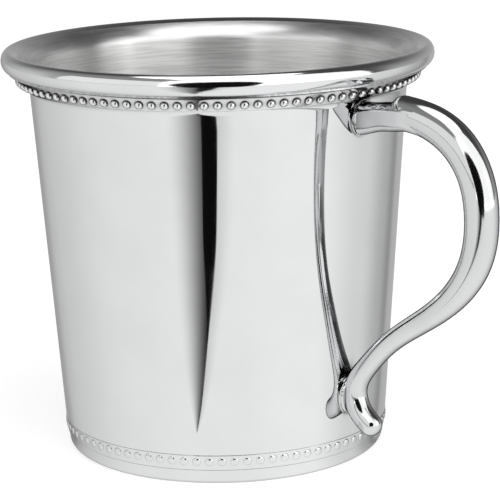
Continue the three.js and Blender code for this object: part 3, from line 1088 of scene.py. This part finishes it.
@dataclass
class Handle(Assembly):
    """The cast scroll handle and the two pads that it is soldered to.

    A row of the bar or the neck is a place in the handle's plane, across and up, with half the thickness and
    half the width there. A pad is the height of its middle, half its height and half its width.
    """

    shape: CupShape
    seat: float = 0.9
    outer_round: float = 1.0
    inner_round: float = 0.82
    bar: tuple[Row, ...] = (
        (39.2, 58.9, 2.5, 2.5),
        (43.8, 58.0, 2.63, 2.62),
        (48.6, 55.6, 2.69, 2.62),
        (52.4, 50.6, 2.59, 2.58),
        (53.595, 44.1, 2.53, 2.53),
        (52.6, 37.9, 2.44, 2.44),
        (48.6, 31.8, 2.13, 2.13),
        (42.6, 27.0, 1.83, 1.85),
        (36.5, 22.8, 1.66, 1.72),
        (31.2, 17.6, 1.64, 1.72),
        (28.7, 13.0, 1.85, 1.85),
        (29.56, 10.3, 1.85, 1.85),
        (31.84, 8.2, 1.75, 1.75),
    )
    neck: tuple[Row, ...] = (
        (30.2, 57.05, 2.55, 2.3),
        (31.5, 57.2, 2.4, 2.25),
        (34.7, 57.75, 2.15, 2.25),
        (37.5, 58.0, 2.1, 2.42),
        (40.0, 58.2, 2.05, 2.55),
        (42.6, 57.9, 2.08, 2.4),
        (46.0, 56.95, 1.8, 1.9),
    )
    neck_outer: float = 0.5
    neck_inner: float = 0.6
    bar_steps: int = 120
    neck_steps: int = 40
    nose_reach: float = 0.95
    nose_blunt: float = 0.8
    toe_blunt: float = 0.95
    core_low: float = -1.0
    core_high: float = 61.0
    upper_pad: Oval = (57.2, 2.95, 2.45)
    lower_pad: Oval = (12.4, 3.3, 2.5)
    pad_step: float = 0.2
    pad_edge: float = 0.12
    pad_sink: float = 0.02
    block_margin: float = 1.0
    block_depth: float = 20.0

    def build(self) -> None:
        """Models the bar, joins the neck to it, seats it on the wall and adds the pads."""
        places = SmoothLine(self.bar).stations(self.bar_steps)
        nose = round_end(places[0], self.nose_reach * places[0].thick, self.nose_blunt, -1)
        toe = round_end(places[-1], places[-1].thick, self.toe_blunt, 1)
        route = [*reversed(nose), *places, *toe]
        scroll = Bench.swept("scroll_handle", route, self.outer_round, self.inner_round)
        root = SmoothLine(self.neck).stations(self.neck_steps)
        Bench.fuse(scroll, Bench.swept("neck", root, self.neck_outer, self.neck_inner), Fuse.JOIN)
        Bench.fuse(scroll, self._core(), Fuse.CUT)
        Bench.smooth(scroll, angle=32.0)
        self.keep(scroll, "handle", Slot.POLISHED)
        self.keep(self._pad("upper_pad", self.upper_pad), "upper_handle_pad", Slot.POLISHED)
        self.keep(self._pad("lower_pad", self.lower_pad), "lower_handle_pad", Slot.POLISHED)

    def _core(self) -> bpy.types.Object:
        """Models what the handle is cut to: the straight wall, filled and grown by the seat.

        Returns:
            The solid core.
        """
        low = (self.shape.wall(self.core_low) + self.seat, self.core_low)
        high = (self.shape.wall(self.core_high) + self.seat, self.core_high)
        section = [(0.0, self.core_low), low, high, (0.0, self.core_high)]
        return Bench.turned("wall_core", section, ring=False)

    def _pad(self, name: str, oval: Oval) -> bpy.types.Object:
        """Makes a pad that follows the wall.

        Args:
            name: name of the new object.
            oval: height of its middle, half its height and half its width.

        Returns:
            The pad: a slab with a smaller one on it, their edges rounded.
        """
        pad = self._slab(name, oval, 0.5 * self.seat)
        middle, half_height, half_width = oval
        step = (middle, half_height - self.pad_step, half_width - self.pad_step)
        Bench.fuse(pad, self._slab(f"{name}_step", step, self.seat + self.pad_sink), Fuse.JOIN)
        Bench.soften(pad, self.pad_edge, angle=50.0)
        Bench.smooth(pad)
        return pad

    def _slab(self, name: str, oval: Oval, grow: float) -> bpy.types.Object:
        """Makes an oval slab that follows the wall.

        Args:
            name: name of the new object.
            oval: height of its middle, half its height and half its width.
            grow: how far its face stands out from the wall.

        Returns:
            The slab, with sharp edges.
        """
        middle, half_height, half_width = oval
        wall = self.shape.wall
        low = middle - half_height - self.block_margin
        high = middle + half_height + self.block_margin
        section = [(wall(low) - self.pad_sink, low), (wall(low) + grow, low)]
        section += [(wall(high) + grow, high), (wall(high) - self.pad_sink, high)]
        slab = Bench.turned(name, section)
        bpy.ops.object.select_all(action="DESELECT")
        bpy.ops.mesh.primitive_cylinder_add(vertices=64, radius=MM, depth=self.block_depth * MM)
        block = bpy.context.object
        bpy.ops.object.mode_set(mode="EDIT")
        bpy.ops.mesh.select_all(action="SELECT")
        Bench.turn(math.pi / 2, (0.0, 0.0))
        bpy.ops.transform.resize(value=(1.0, half_width, half_height), center_override=ORIGIN)
        bpy.ops.transform.translate(value=(wall(middle) * MM, 0.0, middle * MM))
        Bench.close()
        Bench.fuse(slab, block, Fuse.KEEP)
        return slab

    def dress(self, finishes: Finishes) -> None:
        """Polishes the handle and its pads."""
        self.wear(finishes.cast, "handle")
        self.wear(finishes.mirror, "upper_handle_pad", "lower_handle_pad")


@dataclass(frozen=True)
class Lamp:
    """An area lamp: its middle, the way it faces, its width and height, and its glow, where 1 is white."""

    name: str
    where: Spot
    aim: Spot
    size: Point
    glow: float = 1.2
    panel: Panel = Panel.SQUARE


@dataclass
class Studio:
    """Floor, light, dark cards and camera.

    Places and ways are given from the cup: to the camera's right, towards it, and up. Tones, greys and glows
    are shares of white. A floor tone is a change between two angles: painted shade or painted light that
    mirrors see in the floor. The stripe is a painted shadow of the camera on the floor, which only mirrors
    see. Its edges are the angles of its sharp side, of the end of its black core, and of the dark and the
    clear end of its soft side, and its hair is the width of a sharp edge. Its tuck is the angle by which both
    sides draw in towards its tip. Its shade, a faint painted shade, lies past the sharp side. The screen's
    edge is where it ends, in shares of its oval.
    """

    azimuth: float = 44.0
    distance: float = 357.602
    camera_height: float = 115.227
    yaw: float = 0.735
    pitch: float = 13.13
    roll: float = -1.152
    focal_pixels: float = 2222.37
    picture_pixels: float = 500.0
    sensor: float = 36.0
    clip_start: float = 10.0
    clip_end: float = 50000.0
    ceiling_tone: float = 0.06
    horizon_tone: float = 0.34
    horizon_rise: Point = (0.75, 0.0)
    horizon_width: Point = (-0.1, 0.3)
    left_tone: float = 0.22
    left_way: Point = (-0.87, 0.5)
    left_width: Point = (0.0, 0.6)
    soft_tone: float = 0.15
    floor_side: float = 9000.0
    floor_grey: float = 0.6
    floor_glow: float = 0.7
    far_glow: float = 0.12
    far_start: float = 60.0
    far_end: float = 500.0
    front_tone: float = 0.93
    # painted shade and painted light in the floor by bearing, which only mirrors see
    painted_floor_shade_and_light: tuple[tuple[float, float, float], ...] = (
        (6.0, 45.0, 0.05),
        (62.0, 102.5, -0.23),
        (102.5, 130.0, -0.27),
        (127.5, 142.0, -0.16),
        (141.0, 151.0, 0.15),
        (-11.0, -70.0, -0.055),
        (-64.0, -140.0, -0.23),
        (-126.0, -150.0, -0.1),
        (-141.0, -160.0, -0.17),
        (-164.0, -184.0, 0.095),
    )
    mirror_radius: float = 28.5
    mirror_rounds: int = 3
    lamps: tuple[Lamp, ...] = (
        Lamp("front_light", (505.0, 600.0, 350.0), (0.0, -1.0, 0.0), (1690.0, 700.0)),
        Lamp("roof_light", (387.0, 370.0, 700.0), (0.0, 0.0, -1.0), (1225.0, 460.0)),
        Lamp("top_light", (0.0, 50.0, 700.0), (0.0, 0.0, -1.0), (580.0, 580.0), panel=Panel.ROUND),
        Lamp("right_light", (1000.0, 350.0, 350.0), (-1.0, 0.0, 0.0), (500.0, 700.0)),
        Lamp("left_light", (-550.0, 300.0, 305.0), (0.82, -0.574, 0.0), (732.0, 470.0), glow=0.65),
    )
    card_black: float = 0.004
    stripe_tip: Spot = (-11.0, 43.0, 0.3)
    stripe_side: float = 2000.0
    stripe_edges: Row = (2.2, -8.8, -1.0, -36.0)
    stripe_hair: float = 0.35
    stripe_tuck: float = 7.2
    tuck_start: float = 8.0
    tuck_end: float = 95.0
    shade_width: float = 14.0
    shade_strength: float = 0.2
    stripe_reach: float = 620.0
    stripe_fade: float = 20.0
    screen_middle: Spot = (-8.0, 300.0, 112.0)
    screen_size: Point = (250.0, 270.0)
    screen_edge: Point = (1.03, 0.97)

    def place(self, right: float, near: float, up: float) -> Vector:
        """Returns a point of the part's frame from its place as the camera sees it."""
        return Matrix.Rotation(math.radians(self.azimuth), 3, "Z") @ Vector((right, -near, up)) * MM

    def build(self) -> None:
        """Sets up everything round the cup."""
        self._camera()
        self._world()
        self._floor()
        for lamp in self.lamps:
            self._hang(lamp)
        self._cards()
        bpy.context.scene.view_settings.view_transform = "Standard"
        LOG.info("studio: camera, floor, lights and cards")

    def _camera(self) -> None:
        """Puts the camera where the photograph was taken from."""
        yaw = math.radians(self.yaw)
        pitch = math.radians(self.pitch)
        roll = math.radians(self.roll)
        ahead = Vector((math.sin(yaw) * math.cos(pitch), math.cos(yaw) * math.cos(pitch), -math.sin(pitch)))
        level = Vector((math.cos(yaw), -math.sin(yaw), 0.0))
        above = level.cross(ahead)
        right = level * math.cos(roll) + above * math.sin(roll)
        up = above * math.cos(roll) - level * math.sin(roll)
        axes = Matrix((right, up, -ahead)).transposed()
        turned = Matrix.Rotation(math.radians(self.azimuth), 3, "Z") @ axes
        bpy.ops.object.camera_add()
        camera = bpy.context.object
        where = self.place(0.0, self.distance, self.camera_height)
        camera.matrix_world = Matrix.Translation(where) @ turned.to_4x4()
        camera.data.sensor_width = self.sensor
        camera.data.lens = self.focal_pixels / self.picture_pixels * self.sensor
        camera.data.clip_start = self.clip_start * MM
        camera.data.clip_end = self.clip_end * MM
        bpy.context.scene.camera = camera

    def _world(self) -> None:
        """Fills the room: white behind the cup, a light horizon and a dim ceiling in its mirror."""
        world = bpy.data.worlds.new("room")
        bpy.context.scene.world = world
        paint = Paint(world)
        aim = paint.node("ShaderNodeTexCoord", output="Generated")
        low = paint.coordinate(aim, "Z").ramp(*self.horizon_rise)
        behind = self._along(paint, aim, (0.0, -1.0)).ramp(*self.horizon_width)
        left = self._along(paint, aim, self.left_way).ramp(*self.left_width)
        mirrored = self.ceiling_tone + low * behind * self.horizon_tone + left * self.left_tone
        soft = paint.blend(paint.ray("Glossy"), grey(self.soft_tone), mirrored)
        light = paint.blend(paint.ray("Camera"), soft, grey(1.0))
        shine = paint.node("ShaderNodeBackground", None, {"Color": light, "Strength": 1.0})
        paint.node("ShaderNodeOutputWorld", None, {"Surface": shine})

    def _floor(self) -> None:
        """Lays a white floor that keeps the cup's shadow, and that mirrors see as a glow with painted shade
        and painted light, dimmer behind the cup.
        """
        bpy.ops.object.select_all(action="DESELECT")
        bpy.ops.mesh.primitive_plane_add(size=self.floor_side * MM)
        floor = bpy.context.object
        floor.name = "studio_floor"
        made = bpy.data.materials.new("studio_white")
        paint = Paint(made)
        place = paint.place()
        far = self._along(paint, place, (0.0, -1.0)).ramp(self.far_start * MM, self.far_end * MM)
        seen = paint.ray("Camera") * (self.floor_glow + far * self.far_glow)
        glow = paint.node("ShaderNodeEmission", None, {"Color": seen})
        matt = paint.node("ShaderNodeBsdfDiffuse", None, {"Color": grey(self.floor_grey)})
        lit = paint.node("ShaderNodeAddShader", None, {0: matt, 1: glow})
        angle = self._mirrored_bearing(paint, place)
        tone = self.front_tone
        # mirrors see the floor glow, with painted shade and painted light in bands by bearing
        for start, end, change in self.painted_floor_shade_and_light:
            tone = angle.ramp(math.radians(start), math.radians(end)) * change + tone
        mirrored = paint.node("ShaderNodeEmission", None, {"Color": tone})
        both = paint.node("ShaderNodeMixShader", None, {0: paint.ray("Glossy"), 1: lit, 2: mirrored})
        paint.node("ShaderNodeOutputMaterial", None, {"Surface": both})
        floor.data.materials.append(made)

    def _along(self, paint: Paint, place: Signal, way: Point) -> Signal:
        """Returns how far a place lies along a way, given as right and near."""
        return paint.measure("DOT_PRODUCT", place, self.place(way[0] / MM, way[1] / MM, 0.0))

    def _mirrored_bearing(self, paint: Paint, place: Signal) -> Signal:
        """Finds the bearing in which the wall sends the camera's view on to a place on the floor.

        A bearing is the angle from the camera's side of the cup round to the right.

        Args:
            paint: the floor's node tree.
            place: the place on the floor.

        Returns:
            The bearing, which is the same all the way up an upright line of the wall.
        """
        right = self._along(paint, place, (1.0, 0.0))
        bearing = paint.math("ARCTAN2", right, self._along(paint, place, (0.0, 1.0)))
        share = paint.math("MINIMUM", self.mirror_radius * MM / paint.measure("LENGTH", place), 1.0)
        turn = bearing
        for _ in range(self.mirror_rounds):
            turn = bearing + paint.math("ARCSINE", share * paint.math("SINE", turn * 0.5))
        return turn

    def _hang(self, lamp: Lamp) -> None:
        """Hangs a lamp.

        Args:
            lamp: the lamp to hang.
        """
        bpy.ops.object.light_add(type="AREA")
        light = bpy.context.object
        light.name = lamp.name
        ahead = self.place(*lamp.aim).normalized()
        overhead = lamp.aim[:2] == (0.0, 0.0)
        top = self.place(0.0, 1.0 / MM, 0.0) if overhead else Vector(AXIS)
        across = ahead.cross(top).normalized()
        axes = Matrix((across, across.cross(ahead), -ahead)).transposed()
        light.matrix_world = Matrix.Translation(self.place(*lamp.where)) @ axes.to_4x4()
        width, height = lamp.size
        light.data.shape = lamp.panel.value
        light.data.size = width * MM
        light.data.size_y = height * MM
        light.data.energy = lamp.glow * math.pi * width * height * MM * MM
        light.visible_camera = False

    def _cards(self) -> None:
        """Sets the dark cards that the polish mirrors: a painted shadow of the camera on the floor and a
        screen at the camera.
        """
        # the stripe is a painted shadow of the camera on the floor
        self._card("painted_camera_shadow", self.stripe_tip, 0.0, self.stripe_side, self._painted_shadow_cover)
        side = 2.0 * max(self.screen_size)
        screen = self._card("camera_screen", self.screen_middle, math.pi / 2, side, self._screen_cover)
        screen.visible_shadow = True

    def _card(
        self, name: str, where: Spot, tilt: float, side: float, cover: Callable[[Paint], Signal]
    ) -> bpy.types.Object:
        """Makes a black card that only mirrors see.

        Args:
            name: name of the card.
            where: its middle.
            tilt: 0 for a card that lies flat, pi / 2 for one that stands and faces the cup.
            side: length of its sides.
            cover: gives the share of the card that is black at a place.

        Returns:
            The card.
        """
        bpy.ops.object.select_all(action="DESELECT")
        bpy.ops.mesh.primitive_plane_add(size=side * MM)
        card = bpy.context.object
        card.name = name
        card.location = self.place(*where)
        card.rotation_euler = (tilt, 0.0, math.radians(self.azimuth))
        made = bpy.data.materials.new(name)
        paint = Paint(made)
        black = paint.node("ShaderNodeEmission", None, {"Color": grey(self.card_black), "Strength": 1.0})
        clear = paint.node("ShaderNodeBsdfTransparent")
        both = paint.node("ShaderNodeMixShader", None, {0: cover(paint), 1: clear, 2: black})
        paint.node("ShaderNodeOutputMaterial", None, {"Surface": both})
        card.data.materials.append(made)
        card.visible_camera = False
        card.visible_diffuse = False
        card.visible_shadow = False
        card.visible_transmission = False
        return card

    def _screen_cover(self, paint: Paint) -> Signal:
        """Draws the screen: an oval with a soft edge.

        Args:
            paint: the screen's node tree.

        Returns:
            The share of the screen that is black at a place.
        """
        width, height = self.screen_size
        scaled = paint.vector("MULTIPLY", paint.place(), (2.0 / MM / width, 2.0 / MM / height, 0.0))
        return paint.measure("LENGTH", scaled).ramp(*self.screen_edge)

    def _painted_shadow_cover(self, paint: Paint) -> Signal:
        """Draws the stripe, a painted shadow of the camera: a wedge from its tip towards the camera, sharp on
        its right side.

        Args:
            paint: the stripe's node tree.

        Returns:
            The share of the stripe that is black at a place.
        """
        place = paint.place()
        near = 0.0 - paint.coordinate(place, "Y")
        angle = paint.math("ARCTAN2", paint.coordinate(place, "X"), near)
        sharp, full, dark, clear = (math.radians(edge) for edge in self.stripe_edges)
        hair = math.radians(self.stripe_hair)
        tuck = near.ramp(self.tuck_end * MM, self.tuck_start * MM) * math.radians(self.stripe_tuck)
        past = angle - sharp + tuck
        side = past.ramp(hair, 0.0)
        core = (angle - tuck).ramp(full - hair, full)
        # faint painted shade past the sharp side
        shade = past.ramp(math.radians(self.shade_width), 0.0) * (1.0 - side) * self.shade_strength
        cover = side * (core + (1.0 - core) * angle.ramp(clear, dark)) + shade
        return cover * near.ramp(self.stripe_reach * MM, (self.stripe_reach - self.stripe_fade) * MM)


def main() -> None:
    """Builds and dresses the cup, piece by piece, and sets up the studio."""
    logging.basicConfig(level=logging.INFO, format="%(message)s")
    shape = CupShape()
    finishes = Finishes()
    for assembly in (CupBody(shape), Mouth(shape), BeadBand.upper(), BeadBand.lower(), Handle(shape)):
        assembly.build()
        assembly.dress(finishes)
    Studio().build()


if __name__ == "__main__":
    main()
